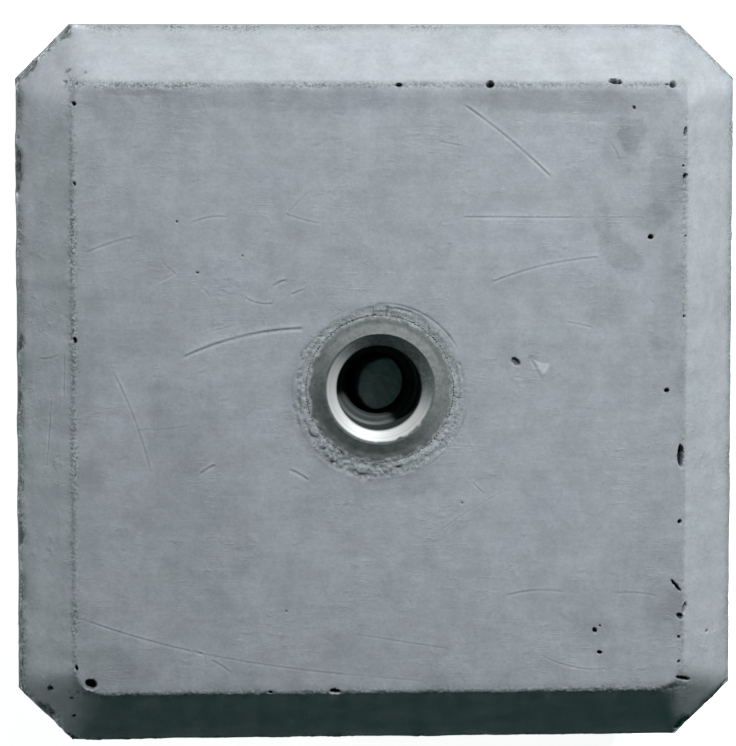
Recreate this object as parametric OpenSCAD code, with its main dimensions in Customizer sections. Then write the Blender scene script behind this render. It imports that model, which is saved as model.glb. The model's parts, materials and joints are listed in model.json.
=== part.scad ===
// Precast concrete column base block with a cast-in steel socket in the middle of its top.
// Origin: middle of the underside. +Z is up, through the socket.

/* [Block] */
// Side of the square block at its widest, between the upright faces
block_w = 200; // [150:1:400]
// Height from the underside to the flat top
block_h = 150; // [100:1:300]
// Leg of the 45 degree bevel along the four top edges
bevel = 16; // [8:1:30]
// Leg of the flat that cuts off each upright corner
corner_cut = 15; // [8:1:24]
// How much of the flat top's own corner the small facet takes, measured on x plus y
apex_cut = 4; // [0:0.5:6]
// Leg of the small chamfer around the underside
foot_chamfer = 3; // [0:0.5:8]

/* [Socket collar] */
// Radius of the collar that lies in the top of the block
collar_r = 20.2; // [15.5:0.1:30]
// Thickness of the collar at its crest
collar_t = 3.2; // [2.5:0.1:6]
// Depth of the collar's crest below the flat top, so that a plate seats on the concrete
crest_drop = 0.3; // [0.1:0.05:1]
// How far the collar's outer rim lies below its crest
rim_drop = 0.9; // [0.3:0.1:1.5]

/* [Socket bores] */
// Radius of the pilot bore, which takes the plain shoulder of a bolt or post
pilot_r = 11.7; // [9.6:0.1:15]
// Length of the pilot bore's straight wall
pilot_l = 13.5; // [6:0.5:25]
// Leg of the 45 degree countersink at the mouth of the pilot bore
mouth_chamfer = 3.3; // [1:0.1:3.5]
// Radius of the threaded bore, measured at the thread's crests
thread_r = 8.65; // [6:0.05:10.8]
// Length of the threaded bore below its starting chamfer
thread_l = 16; // [12:1:50]
// Leg of the chamfer where the threaded bore starts
thread_chamfer = 0.8; // [0.3:0.1:1]
// Wall of the socket's sleeve around its pilot bore
sleeve_wall = 3; // [2:0.1:3.6]
// Thickness of the socket's closed end
end_wall = 5; // [3:0.5:10]

/* [Mortar ring] */
// Width of the rough mortar ring around the collar
mortar_w = 3.8; // [2:0.1:8]
// Depth of the mortar ring below the flat top
mortar_drop = 0.5; // [0.2:0.1:1]

/* [Hidden] */
overcut = 1;                                 // how far a cutting shape runs past the face it opens
face_w = block_w - 2 * bevel;                // side of the flat top
crest_r = pilot_r + mouth_chamfer;           // the collar's crest, where the countersink starts
mortar_r = collar_r + mortar_w;
sleeve_r = pilot_r + sleeve_wall;
crest_z = block_h - crest_drop;
rim_z = crest_z - rim_drop;
collar_z = crest_z - collar_t;               // underside of the collar
mouth_z = crest_z - mouth_chamfer;           // top of the pilot bore's straight wall
ledge_z = mouth_z - pilot_l;                 // floor of the pilot bore
thread_z = ledge_z - thread_chamfer;         // top of the threaded bore
thread_end_z = thread_z - thread_l;
sleeve_end_z = thread_end_z - end_wall;
apex = face_w - apex_cut;                    // x plus y where a corner facet leaves the flat top
facet_run = (block_w - corner_cut - apex) / sqrt(2); // plan length of a corner facet

// Square of the given side with its corners cut off, centred on the origin
module cut_square(side, cut) {
    h = side / 2;
    polygon([
        [h, h - cut], [h - cut, h], [cut - h, h], [-h, h - cut],
        [-h, cut - h], [cut - h, -h], [h - cut, -h], [h, cut - h]
    ]);
}

// Bar along X whose section is the block's side view: top edges bevelled, foot chamfered
module bevelled_bar() {
    h = block_w / 2;
    rotate([90, 0, 90])
        linear_extrude(height = block_w + 2 * overcut, center = true)
            polygon([
                [foot_chamfer - h, 0], [h - foot_chamfer, 0], [h, foot_chamfer],
                [h, block_h - bevel], [h - bevel, block_h],
                [bevel - h, block_h], [-h, block_h - bevel], [-h, foot_chamfer]
            ]);
}

// What the small facet takes off one corner: it falls from the flat top, just inside its corner,
// to the level line, one bevel lower, where the upright corner flat begins
module corner_waste() {
    rotate([0, 0, 45])
        translate([apex / sqrt(2), 0, block_h])
            rotate([90, 0, 0])
                linear_extrude(height = block_w, center = true)
                    polygon([[0, 0], [facet_run, -bevel], [block_w, -bevel], [block_w, bevel], [0, bevel]]);
}

// The space in the top of the block that the socket and its mortar ring fill
module socket_seat() {
    translate([0, 0, sleeve_end_z])
        cylinder(r = sleeve_r, h = block_h - sleeve_end_z + overcut, $fn = 96);
    translate([0, 0, collar_z])
        cylinder(r = collar_r, h = block_h - collar_z + overcut, $fn = 128);
    translate([0, 0, block_h - mortar_drop])
        cylinder(r = mortar_r, h = mortar_drop + overcut, $fn = 128);
}

// The cast block: bevelled both ways, corners cut off, with the socket's seat in its top
module concrete_block() {
    color([0.58, 0.61, 0.63])
        difference() {
            intersection() {
                linear_extrude(height = block_h) cut_square(block_w, corner_cut);
                bevelled_bar();
                rotate([0, 0, 90]) bevelled_bar();
            }
            for (turn = [0 : 90 : 270])
                rotate([0, 0, turn]) corner_waste();
            socket_seat();
        }
}

// The socket: one turned piece with a collar on top, a pilot bore, a threaded bore and a closed end
module steel_socket() {
    color([0.42, 0.43, 0.44])
        rotate_extrude($fn = 128)
            polygon([
                [0, sleeve_end_z], [sleeve_r, sleeve_end_z], [sleeve_r, collar_z],
                [collar_r, collar_z], [collar_r, rim_z], [crest_r, crest_z],
                [pilot_r, mouth_z], [pilot_r, ledge_z],
                [thread_r + thread_chamfer, ledge_z], [thread_r, thread_z],
                [thread_r, thread_end_z], [0, thread_end_z]
            ]);
}

concrete_block();
steel_socket();
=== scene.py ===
# %% [markdown]
# # A concrete column base block
#
# The object is a square block of precast concrete. It was cast face down in a steel mould, so its
# top is smooth, with 45 degree bevels where triangular strips lay in the mould, and its corners
# are cut off. A turned steel socket is cast into the middle of the top: a post foot or a bolt
# screws into it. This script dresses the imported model: it replaces the clean solids with meshes
# that carry the air holes, sandy seams, scratches and chips, and gives them concrete and steel.

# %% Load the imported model
import json
import math
import bpy
import numpy as np
from mathutils import Matrix, Vector
from mathutils.geometry import delaunay_2d_cdt


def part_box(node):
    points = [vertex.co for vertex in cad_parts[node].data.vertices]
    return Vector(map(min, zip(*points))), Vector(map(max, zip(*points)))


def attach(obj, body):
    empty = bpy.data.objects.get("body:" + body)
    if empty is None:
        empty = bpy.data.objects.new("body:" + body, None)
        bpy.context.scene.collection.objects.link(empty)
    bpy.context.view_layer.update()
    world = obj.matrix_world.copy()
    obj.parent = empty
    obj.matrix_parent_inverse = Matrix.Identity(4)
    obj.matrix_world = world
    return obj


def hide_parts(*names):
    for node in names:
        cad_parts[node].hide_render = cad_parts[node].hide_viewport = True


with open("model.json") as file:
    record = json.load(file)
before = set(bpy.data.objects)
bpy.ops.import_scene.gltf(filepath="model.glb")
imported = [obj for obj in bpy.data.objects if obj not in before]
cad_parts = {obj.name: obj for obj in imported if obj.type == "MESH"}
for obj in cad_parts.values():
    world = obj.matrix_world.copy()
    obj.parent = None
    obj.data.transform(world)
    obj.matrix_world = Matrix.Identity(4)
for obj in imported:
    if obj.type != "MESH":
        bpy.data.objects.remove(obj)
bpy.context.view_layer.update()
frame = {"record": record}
MM = 0.001
rng = np.random.default_rng(20)

low, high = (np.array(corner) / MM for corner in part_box("concrete_block"))
HALF = high[0]          # half the width across the upright faces
TOP = high[2]           # height of the flat top
print("block, mm:", low.round(2), high.round(2))

# %% [markdown]
# The remaining sizes of the block are the ones it was cast with. The flat top is 168 mm across,
# so each bevel runs 16 mm in and 16 mm down, and the upright corners lose 15 mm off each side.

# %% Sizes of the block, in mm
BEVEL = 16.0            # leg of the 45 degree bevels
FLAT = HALF - BEVEL     # half the width of the flat top
CUT = 15.0              # leg of the flat that cuts off an upright corner
EASE = 4.0              # how much of the flat top's own corner the small facet takes, measured on x + y
FOOT = 3.0              # chamfer around the underside
SHOULDER = TOP - BEVEL  # height where bevels end and upright faces begin
SKIN = 0.12             # the plain skin lies this far inside the solid, so that burrs may stand on it
mounts = {m["name"]: m for m in frame["record"]["mounts"]}
THREAD_R = mounts["thread"]["dims"]["r_mm"]
PILOT_R = mounts["pilot_bore"]["dims"]["r_mm"]
print("thread and pilot radius, mm:", THREAD_R, PILOT_R)

# %% [markdown]
# ## Camera
# The block is seen from almost straight above, from about a metre. The camera stands over the
# block's back left, so the back and left bevels look wider than the front and right ones, and the
# upright faces stay hidden. Its axis leans most of the way back to the middle of the block, and a
# small shift of the lens does the rest: the less it leans, the squarer the square top looks.

# %% Make the camera
STAND = Vector((-0.069, 0.101, TOP * MM + 1.00))   # where the camera is
VIEW_HEIGHT = 0.2046                       # height of the view at the flat top
AIM = Vector((-0.0033, 0.0045, TOP * MM))  # the block sits a little low and right in the view
LEAN = 0.8                                 # share of the way from straight down to the aim

camera_data = bpy.data.cameras.new("camera")
camera_data.sensor_width = 36.0
camera_data.clip_end = 20.0
camera = bpy.data.objects.new("camera", camera_data)
bpy.context.scene.collection.objects.link(camera)
below = Vector((STAND.x, STAND.y, AIM.z))
back = (STAND - below.lerp(AIM, LEAN)).normalized()
up = (Vector((0, 1, 0)) - back * back.y).normalized()
right = up.cross(back)
camera.matrix_world = Matrix.Translation(STAND) @ Matrix((right, up, back)).transposed().to_4x4()
to_aim = AIM - STAND
aim_depth = -to_aim.dot(back)
camera_data.lens = camera_data.sensor_width * aim_depth / VIEW_HEIGHT
camera_data.shift_x = to_aim.dot(right) / VIEW_HEIGHT
camera_data.shift_y = to_aim.dot(up) / VIEW_HEIGHT
bpy.context.scene.camera = camera
print("lens, mm:", round(camera_data.lens, 1),
      "shift:", round(camera_data.shift_x, 3), round(camera_data.shift_y, 3))

# %% [markdown]
# ## Floor and light
# The block stands on a pale table under one soft lamp. The lamp is behind the block and a little to
# its right, fairly low, so the back bevel is the brightest and the front bevel falls into shade. A
# wide, weak light low on the left stands for a pale wall there. Light from all round would be
# simpler, but it hides relief, and the relief is what there is to see. The table is white from
# below, as a light table is, so the shadow on it stays pale, and a little of its glow reaches the
# upright faces. The rest of the room is dim and green.

# %% Make the floor and the lights
def plain_material(name, color, roughness, glow=0.0):
    """A material of one colour, with an optional glow of the same colour."""
    made = bpy.data.materials.new(name)
    made.use_nodes = True
    shader = made.node_tree.nodes["Principled BSDF"]
    shader.inputs["Base Color"].default_value = (*color, 1.0)
    shader.inputs["Roughness"].default_value = roughness
    shader.inputs["Emission Color"].default_value = (*color, 1.0)
    shader.inputs["Emission Strength"].default_value = glow
    return made


FLOOR_HALF = 4.0
floor_mesh = bpy.data.meshes.new("floor")
floor_mesh.from_pydata(
    [(x * FLOOR_HALF, y * FLOOR_HALF, 0.0) for x, y in ((-1, -1), (1, -1), (1, 1), (-1, 1))],
    [], [(0, 1, 2, 3)])
floor = bpy.data.objects.new("floor", floor_mesh)
bpy.context.scene.collection.objects.link(floor)
floor_mesh.materials.append(plain_material("pale_floor", (0.90, 0.90, 0.90), 0.9, glow=1.0))
floor.visible_diffuse = False


def lamp(name, azimuth, elevation, distance, size, watts, color):
    """A square area light that looks at the middle of the flat top from the given direction."""
    data = bpy.data.lights.new(name, "AREA")
    data.shape = "SQUARE"
    data.size = size
    data.energy = watts
    data.color = color
    made = bpy.data.objects.new(name, data)
    bpy.context.scene.collection.objects.link(made)
    a, e = math.radians(azimuth), math.radians(elevation)
    way = Vector((math.cos(e) * math.cos(a), math.cos(e) * math.sin(a), math.sin(e)))
    made.location = Vector((0, 0, TOP * MM)) + way * distance
    made.rotation_euler = way.to_track_quat("Z", "Y").to_euler()
    return made


WHITE = (1.0, 1.0, 1.0)
ROOM_COLOR = (0.20, 1.0, 0.80)
ROOM_STRENGTH = 0.032
key = lamp("key", azimuth=66, elevation=39.5, distance=1.1, size=0.09, watts=16.3, color=WHITE)
fill = lamp("left fill", azimuth=173, elevation=11, distance=1.5, size=0.5, watts=6.2, color=WHITE)
fill.visible_glossy = False     # a wide pale wall gives no sharp glint in the steel
glow = lamp("table glow", azimuth=0, elevation=-90, distance=TOP * MM - 0.002, size=2.0, watts=1.0,
            color=(0.5, 1.0, 0.9))
glow.visible_camera = False     # the floor itself is what the camera sees
glow.visible_glossy = False
world = bpy.data.worlds.new("world")
bpy.context.scene.world = world
world.use_nodes = True
world.node_tree.nodes["Background"].inputs["Color"].default_value = (*ROOM_COLOR, 1.0)
world.node_tree.nodes["Background"].inputs["Strength"].default_value = ROOM_STRENGTH
bpy.context.scene.view_settings.view_transform = "Standard"
print("key, fill and glow, watts:", *(round(made.data.energy, 1) for made in (key, fill, glow)))

# %% [markdown]
# ## Noise
# Every irregular thing on cast concrete, from the slow wave of the face to the sand along its
# seams, is a smooth random number that depends on place. Lattice noise gives one: a fixed random
# number sits at each whole-number point, and the eight around a place are blended. Cell noise
# gives grains: one point is dropped in each small cell, and the distance to the nearest is read.

# %% Noise on whole arrays
LATTICE_START = 512.0   # added to every place, so that lattice indices stay positive


def lattice_random(i, j, k, seed):
    """A fixed random number from 0 to 1 for each lattice point: odd multipliers mix the indices."""
    h = (i * 374761393 + j * 668265263 + k * 1440670441 + seed * 97473757) & 0xFFFFFFFF
    h = ((h ^ (h >> 13)) * 1274126177) & 0xFFFFFFFF
    return ((h ^ (h >> 16)) & 0xFFFFFF) / 0xFFFFFF


def noise(p, size, seed):
    """Lattice noise from -1 to 1 at points p, its features about `size` across.

    Each of the eight lattice points around a place weighs by the product, over the three axes, of
    how near it is, after f * f * (3 - 2 * f) has smoothed the fraction f of the way to the next.
    """
    q = np.asarray(p, float) / size + LATTICE_START
    cell = np.floor(q).astype(np.int64)
    f = q - cell
    f = f * f * (3.0 - 2.0 * f)
    total = np.zeros(len(q))
    for di in (0, 1):
        for dj in (0, 1):
            for dk in (0, 1):
                weight = (np.abs(1 - di - f[:, 0]) * np.abs(1 - dj - f[:, 1])
                          * np.abs(1 - dk - f[:, 2]))
                total += weight * lattice_random(cell[:, 0] + di, cell[:, 1] + dj, cell[:, 2] + dk, seed)
    return 2.0 * total - 1.0


def layered(p, size, seed, layers=3):
    """Noise with finer noise on it: each layer has half the size and half the height."""
    total = np.zeros(len(p))
    for n in range(layers):
        total += noise(p, size / 2**n, seed + n) / 2**n
    return total / (2.0 - 2.0 ** (1 - layers))


def grains(p, size, seed):
    """Distance, in grain sizes, to the nearest of one random point per cell of the plan."""
    q = np.asarray(p, float)[:, :2] / size + LATTICE_START
    cell = np.floor(q).astype(np.int64)
    nearest = np.full(len(q), 9.0)
    for di in (-1, 0, 1):
        for dj in (-1, 0, 1):
            i, j = cell[:, 0] + di, cell[:, 1] + dj
            px = i + lattice_random(i, j, 0, seed)
            py = j + lattice_random(i, j, 1, seed)
            nearest = np.minimum(nearest, np.hypot(q[:, 0] - px, q[:, 1] - py))
    return nearest


def smooth_step(low, high, x):
    """0 below low, 1 above high, and t * t * (3 - 2 * t) between, t being the share of the way."""
    t = np.clip((x - low) / (high - low), 0.0, 1.0)
    return t * t * (3.0 - 2.0 * t)


def smooth_max(a, b, radius):
    """The larger of two, with a parabola added where they differ by less than `radius`."""
    h = np.clip(0.5 + 0.5 * (b - a) / radius, 0.0, 1.0)
    return a + (b - a) * h + radius * h * (1.0 - h)


three_places = np.array([[0.0, 0.0, 0.0], [5.0, 5.0, 5.0], [9.0, 2.0, 4.0]])
print("noise at three places:", noise(three_places, 4.0, 1).round(2))

# %% [markdown]
# ## What marks the concrete
# Air bubbles against the mould leave round holes, most of them where the bevel strips met the
# bottom of the mould. Dragging and stacking leave scratches, each a groove with a low burr beside
# it. Arrises lose chips. The lists give their places, in mm from the middle, and their sizes.

# %% Air holes, scratches and chips
# x, y, half-length, half-width, turn in degrees, depth
AIR_HOLES = [
    (5.1, 83.5, 1.1, 0.6, 0, 1.0), (30.1, 83.6, 1.15, 1.1, 0, 1.6), (64.6, 84.4, 1.9, 0.75, -8, 1.6),
    (80.6, 83.6, 1.2, 1.0, 30, 1.1), (78.7, 83.6, 0.6, 0.3, 0, 0.6), (84.0, 70.4, 0.5, 1.4, -8, 1.4),
    (84.1, 58.2, 0.75, 0.8, 0, 1.3), (83.4, 61.2, 0.35, 0.4, 0, 0.6), (74.4, 41.6, 0.8, 0.8, 0, 1.4),
    (84.3, 41.7, 0.35, 0.35, 0, 0.6), (37.4, 7.4, 1.6, 1.0, -35, 0.55), (79.2, -0.8, 0.75, 0.6, 20, 0.9),
    (83.3, -19.0, 0.95, 3.4, 0, 1.7), (83.1, -37.2, 0.6, 0.6, 0, 1.2), (82.3, -55.1, 2.3, 0.4, -48, 1.5),
    (84.9, -61.5, 0.7, 1.7, -15, 1.7), (83.4, -63.6, 1.3, 0.8, -30, 0.7), (59.6, -67.3, 0.6, 0.75, 15, 1.1),
    (61.1, -66.1, 0.3, 0.3, 0, 0.6), (61.0, -73.5, 0.8, 0.55, -15, 1.1), (83.1, -69.4, 0.45, 0.5, 0, 0.9),
    (83.1, -76.3, 0.4, 0.45, 0, 0.8), (92.2, -69.2, 0.4, 0.4, 0, 0.7), (-79.6, -81.3, 1.9, 1.6, 0, 1.9),
    (-83.6, -76.6, 0.55, 0.8, 0, 1.2), (-90.8, -83.8, 0.85, 0.8, 0, 1.3), (-85.0, -86.0, 0.4, 0.4, 0, 0.8),
    (-84.4, -91.7, 0.5, 0.5, 0, 0.9), (-12.3, -83.9, 1.5, 0.8, 0, 1.3), (-30.1, -84.0, 0.5, 0.4, 0, 0.8),
    (-83.6, 78.3, 0.65, 0.65, 0, 1.2), (-83.5, 56.6, 0.5, 0.5, 0, 0.9), (-83.6, 13.8, 0.6, 0.9, 0, 0.9),
    (84.0, 19.7, 0.4, 0.5, 0, 0.7), (-55.6, 46.1, 0.35, 0.35, 0, 0.4), (-37.7, 36.8, 0.3, 0.3, 0, 0.3),
    (69.7, 77.1, 0.5, 0.6, 0, 0.5), (22.7, -31.6, 0.35, 0.3, 0, 0.3), (-25.7, -61.3, 0.3, 0.3, 0, 0.3),
    (-85.4, 87.2, 1.2, 0.35, 25, 0.35), (-82.9, 84.0, 0.6, 0.35, 30, 0.4), (-86.0, 84.3, 1.0, 0.25, 0, 0.3),
    (-80.5, 86.9, 0.5, 0.3, 0, 0.3), (-50.0, 32.2, 0.5, 0.35, 20, 0.35), (84.6, -81.4, 2.4, 0.6, -20, 0.8),
]
# x and y of the start, the end, how far the middle bows to the left of the way, half-width, depth
SCRATCHES = [
    (23.8, 77.2, 46.1, 58.7, 0.6, 0.45, 0.16), (23.5, 47.1, 51.7, 46.9, 0.0, 0.35, 0.12),
    (51.7, 47.0, 71.7, 46.9, 0.0, 0.30, 0.05), (31.5, 29.5, 59.3, 35.9, 1.1, 0.40, 0.12),
    (-53.1, 9.2, -21.9, 16.6, 1.6, 0.60, 0.20), (-46.1, 16.0, -36.6, 18.1, 0.3, 0.30, 0.06),
    (-72.8, 4.2, -63.2, -22.2, 0.8, 0.42, 0.09), (-81.9, -63.2, -49.4, -72.9, -0.6, 0.35, 0.09),
    (-49.4, -72.9, -10.9, -79.0, -0.5, 0.30, 0.07), (-10.9, -79.0, 11.2, -81.1, 0.0, 0.30, 0.04),
    (-6.7, -68.0, 18.1, -72.1, 0.0, 0.30, 0.05), (36.1, -57.3, 49.9, -56.5, 0.7, 0.40, 0.08),
    (66.2, -57.1, 76.1, -57.9, 0.4, 0.40, 0.05), (45.5, -74.6, 62.3, -78.3, -1.2, 0.30, 0.07),
    (16.7, -39.3, 34.6, -28.3, 0.4, 0.30, 0.04), (-25.5, 48.0, -19.3, 54.4, 0.2, 0.30, 0.08),
    (-25.5, 48.0, -17.3, 45.7, -0.2, 0.30, 0.07), (16.8, 67.7, 22.7, 66.6, 0.0, 0.30, 0.07),
    (-79.6, 38.0, -67.0, 42.0, 0.3, 0.40, 0.08), (-50.4, 46.2, -42.4, 47.4, 0.5, 0.35, 0.09),
    (-59.0, 34.5, -56.2, 32.0, 0.0, 0.30, 0.08), (-56.2, 32.0, -60.4, 29.7, 0.2, 0.30, 0.06),
    (-48.5, 27.7, -46.7, 25.3, 0.3, 0.30, 0.08), (-36.4, 24.9, -30.2, 23.5, -0.5, 0.35, 0.12),
    (-29.0, 28.6, -26.4, 29.8, 0.1, 0.45, 0.18), (63.7, 66.6, 65.5, 62.8, 0.2, 0.40, 0.10),
    (-48.9, -22.9, -45.7, -21.0, 0.1, 0.45, 0.16),
    (-24.2, -22.5, -20.3, -24.7, 0.1, 0.50, 0.16), (51.9, 18.1, 57.8, 16.8, 0.1, 0.35, 0.07),
    (-23.7, 26.3, -21.2, 27.3, 0.0, 0.40, 0.12), (26.2, -26.7, 28.2, -28.7, 0.0, 0.35, 0.08),
    (-46.0, -75.1, -41.5, -78.1, 0.2, 0.40, 0.10), (-51.4, -71.7, -48.9, -73.3, 0.1, 0.30, 0.06),
    (-64.0, -10.9, -53.0, -9.9, -0.4, 0.35, 0.05), (-86.6, 9.1, -86.8, -1.2, 0.0, 0.25, 0.07),
    (-90.4, -2.6, -91.8, -21.2, 0.2, 0.28, 0.09), (-92.6, 8.0, -88.4, 9.2, -0.3, 0.35, 0.06),
]
# x, y on the arris, half-length along it, how far it reaches in, depth
CHIPS = [
    (-100.0, 60.5, 7.5, 1.9, 0.9), (-100.0, 12.6, 3.2, 2.2, 1.1), (-100.0, -42.0, 3.6, 1.6, 0.9),
    (-100.0, -2.0, 5.0, 1.0, 0.5), (-98.0, 86.5, 5.0, 1.4, 0.8), (-86.5, 98.5, 3.0, 2.2, 1.5),
    (85.0, 98.5, 2.2, 2.2, 0.6), (86.5, -96.5, 3.0, 2.0, 1.3), (-91.5, -92.0, 4.5, 1.8, 1.0),
    (-12.0, 100.0, 2.6, 1.0, 0.5), (10.0, 100.0, 1.4, 0.8, 0.4), (97.5, -87.0, 3.0, 1.0, 0.6),
]
# corners of a flake of paste that stuck to the face, anticlockwise
FLAKE = ((42.2, 7.7), (44.7, 2.8), (47.8, 6.6))
FLAKE_MIDDLE = (44.9, 5.7)
FLAKE_REACH = 3.6       # the flake lies within this distance of its middle
TICKS = 90
tick_at = rng.uniform(-FLAT + 3, FLAT - 3, (TICKS, 2))
tick_way = np.radians(rng.normal(10, 45, TICKS))
tick_half = rng.uniform(0.5, 1.8, TICKS)
tick_deep = rng.uniform(0.05, 0.14, TICKS)
print(len(AIR_HOLES), "air holes,", len(SCRATCHES), "scratches,", len(CHIPS), "chips,", TICKS, "ticks")

# %% [markdown]
# Each mark is measured the same way everywhere: how far a point of the plan lies from it. The same
# distances later decide where the mesh needs small triangles and how deep the surface goes.

# %% Distances to the marks
def hole_distance(p, hole):
    """Distance to an air hole's rim, in units of its own size: 0 in the middle, 1 on the rim."""
    x, y, long, wide, turned, _ = hole
    a = math.radians(turned)
    dx, dy = p[:, 0] - x, p[:, 1] - y
    return np.hypot((dx * math.cos(a) + dy * math.sin(a)) / long,
                    (dy * math.cos(a) - dx * math.sin(a)) / wide)


def scratch_distance(p, scratch):
    """Signed distance to a bowed line, the place along it from 0 to 1, and how far past its ends.

    The bow is a parabola over the chord, so its height there is taken off before measuring.
    """
    x0, y0, x1, y1, bow = scratch[:5]
    length = math.hypot(x1 - x0, y1 - y0)
    ux, uy = (x1 - x0) / length, (y1 - y0) / length
    along = ((p[:, 0] - x0) * ux + (p[:, 1] - y0) * uy) / length
    across = (p[:, 1] - y0) * ux - (p[:, 0] - x0) * uy
    across = across - bow * 4.0 * along * (1.0 - along)
    past = (np.abs(along - 0.5) - 0.5).clip(0) * length
    return across, along, past


def chip_distance(p, chip):
    """Distance to a chip's middle in units of its own size, measured along and across its arris."""
    x, y, long, wide, _ = chip
    diagonal = abs(abs(x) - HALF) > 0.01 and abs(abs(y) - HALF) > 0.01
    if diagonal:
        ux, uy = -math.copysign(1, y) / math.sqrt(2), math.copysign(1, x) / math.sqrt(2)
    else:
        ux, uy = (0.0, 1.0) if abs(abs(x) - HALF) < 0.01 else (1.0, 0.0)
    dx, dy = p[:, 0] - x, p[:, 1] - y
    return np.hypot((dx * ux + dy * uy) / long, (dx * uy - dy * ux) / wide)


middle = np.zeros((1, 2))
print("from the middle to the nearest air hole, in its own sizes:",
      round(min(hole_distance(middle, hole)[0] for hole in AIR_HOLES), 1))

# %% [markdown]
# ## The clean shape
# The top is a height over the plan: it stays flat, then falls one for one past the line where a
# bevel starts, and a corner facet falls along the diagonal. Taking the largest fall with a small
# round where two meet gives the whole top. The line where the bevel starts wavers a little,
# because paste crept under the strips in the mould. Booleans could cut the same shape from a cube,
# but the marks need thousands of points in chosen places, and a height can be read at any of them.

# %% Fall of the top below the flat
COLLAR_R = 20.2         # radius of the collar's seat
SLEEVE_R = 14.7         # radius of the sleeve's seat below it
SEAT_WALL = 0.02        # plan width of an upright wall in the seat
COLLAR_SEAT = 3.55      # depth of the seat under the collar
SLEEVE_SEAT = 38.95     # depth of the seat under the sleeve
MORTAR_R = 24.2         # mean radius where the mortar ends
MORTAR_AT = np.array([0.1, -0.7])   # the ring was struck a little off the socket's axis
FACET_FALL = BEVEL / (2 * HALF - CUT - 2 * FLAT + EASE)


def plan3(x, y, z=0.0):
    """Points as rows of x, y and z."""
    x = np.asarray(x, float)
    return np.stack([x, np.broadcast_to(y, x.shape), np.broadcast_to(z, x.shape)], axis=1)


def fall(p):
    """How far the clean top lies below its flat part at plan points p.

    The distance past the bevel lines and the share of the distance past a corner's line are joined
    by a rounded maximum, and so is that with zero.
    """
    x, y = p[:, 0], p[:, 1]
    waver_x = 0.22 * layered(plan3(y, np.sign(x) * 50), 5.0, 31)
    waver_y = 0.30 * layered(plan3(x, np.sign(y) * 50), 4.0, 33)
    past_x = np.abs(x) - FLAT + waver_x
    past_y = np.abs(y) - FLAT + waver_y
    past_corner = (np.abs(x) + np.abs(y) - 2 * FLAT + EASE) * FACET_FALL
    bevels = np.maximum(past_x, past_y)
    slopes = smooth_max(bevels, past_corner, 3.5)
    return smooth_max(np.zeros(len(p)), slopes, 0.7)


print("fall in the middle of the right bevel, mm:", fall(plan3([FLAT + BEVEL / 2], 0.0)).round(2))

# %% [markdown]
# ## Where the mesh needs small triangles
# The face is nearly plain between its marks, and a fine grid all over it would be millions of
# triangles. So points are laid on triangular lattices of four spacings, and each lattice is used
# only where the wanted spacing, a function of the distance to the nearest mark, calls for it.
# Blender's own Delaunay routine then joins the points into triangles.

# %% Wanted spacing on the top
SPACINGS = (1.9, 0.95, 0.5, 0.31)
FINE = SPACINGS[-1]
MORTAR_MIDDLE_R = 22.8  # middle of the rough ring that needs the finest mesh
AFAR = 99               # stands for a seam that is too far away to matter, in mm


def wanted_spacing(p):
    """Wanted distance between mesh points at plan points p.

    It is the least, over all the marks, of a fine spacing plus a share of the distance past the
    mark, and never more than the widest spacing.
    """
    want = np.full(len(p), SPACINGS[0])
    ax, ay = np.abs(p[:, 0]), np.abs(p[:, 1])
    inside_x, inside_y = ay < FLAT + 3, ax < FLAT + 3
    seam = np.minimum(np.where(inside_x, np.abs(ax - FLAT), AFAR),
                      np.where(inside_y, np.abs(ay - FLAT), AFAR))
    want = np.minimum(want, FINE + 0.5 * (seam - 1.1).clip(0))
    arris = np.minimum(np.minimum(HALF - ax, HALF - ay), (2 * HALF - CUT - ax - ay) / math.sqrt(2))
    rough_arris = (p[:, 0] < -HALF + 6) | ((ax + ay) > 2 * HALF - CUT - 6)
    want = np.minimum(want, np.where(rough_arris, 0.36, 0.6) + 0.5 * (arris - 1.0).clip(0))
    ring = np.hypot(p[:, 0], p[:, 1])
    from_ring = (np.abs(ring - MORTAR_MIDDLE_R) - 3.0).clip(0)
    want = np.minimum(want, FINE + 0.45 * from_ring + 9.0 * (ring < COLLAR_R - 1))
    for hole in AIR_HOLES:
        gap = (hole_distance(p, hole) - 1.0).clip(0) * min(hole[2], hole[3])
        want = np.minimum(want, 0.8 * FINE + 0.55 * (gap - 0.2).clip(0))
    flake = np.hypot(p[:, 0] - FLAKE_MIDDLE[0], p[:, 1] - FLAKE_MIDDLE[1])
    want = np.minimum(want, FINE + 0.55 * (flake - FLAKE_REACH).clip(0))
    for scratch in SCRATCHES:
        across, _, past = scratch_distance(p, scratch)
        want = np.minimum(want, 1.15 * FINE + 0.6 * (np.hypot(across, past) - 0.75).clip(0))
    for n in range(TICKS):
        away = np.hypot(p[:, 0] - tick_at[n, 0], p[:, 1] - tick_at[n, 1])
        want = np.minimum(want, 1.45 * FINE + 0.6 * (away - tick_half[n] * 0.8).clip(0))
    return want


def lattice_points(spacing, half_x, half_y):
    """A triangular lattice over a rectangle: every other row is shifted by half a step, and each
    point is nudged at random so that no four of them lie on one circle."""
    xs = np.arange(-half_x, half_x, spacing)
    ys = np.arange(-half_y, half_y, spacing * math.sqrt(3) / 2)
    gx, gy = np.meshgrid(xs, ys)
    gx = gx + (np.arange(len(ys)) % 2)[:, None] * spacing / 2
    p = np.stack([gx.ravel(), gy.ravel()], axis=1)
    return p + rng.uniform(-0.12, 0.12, p.shape) * spacing


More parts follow.
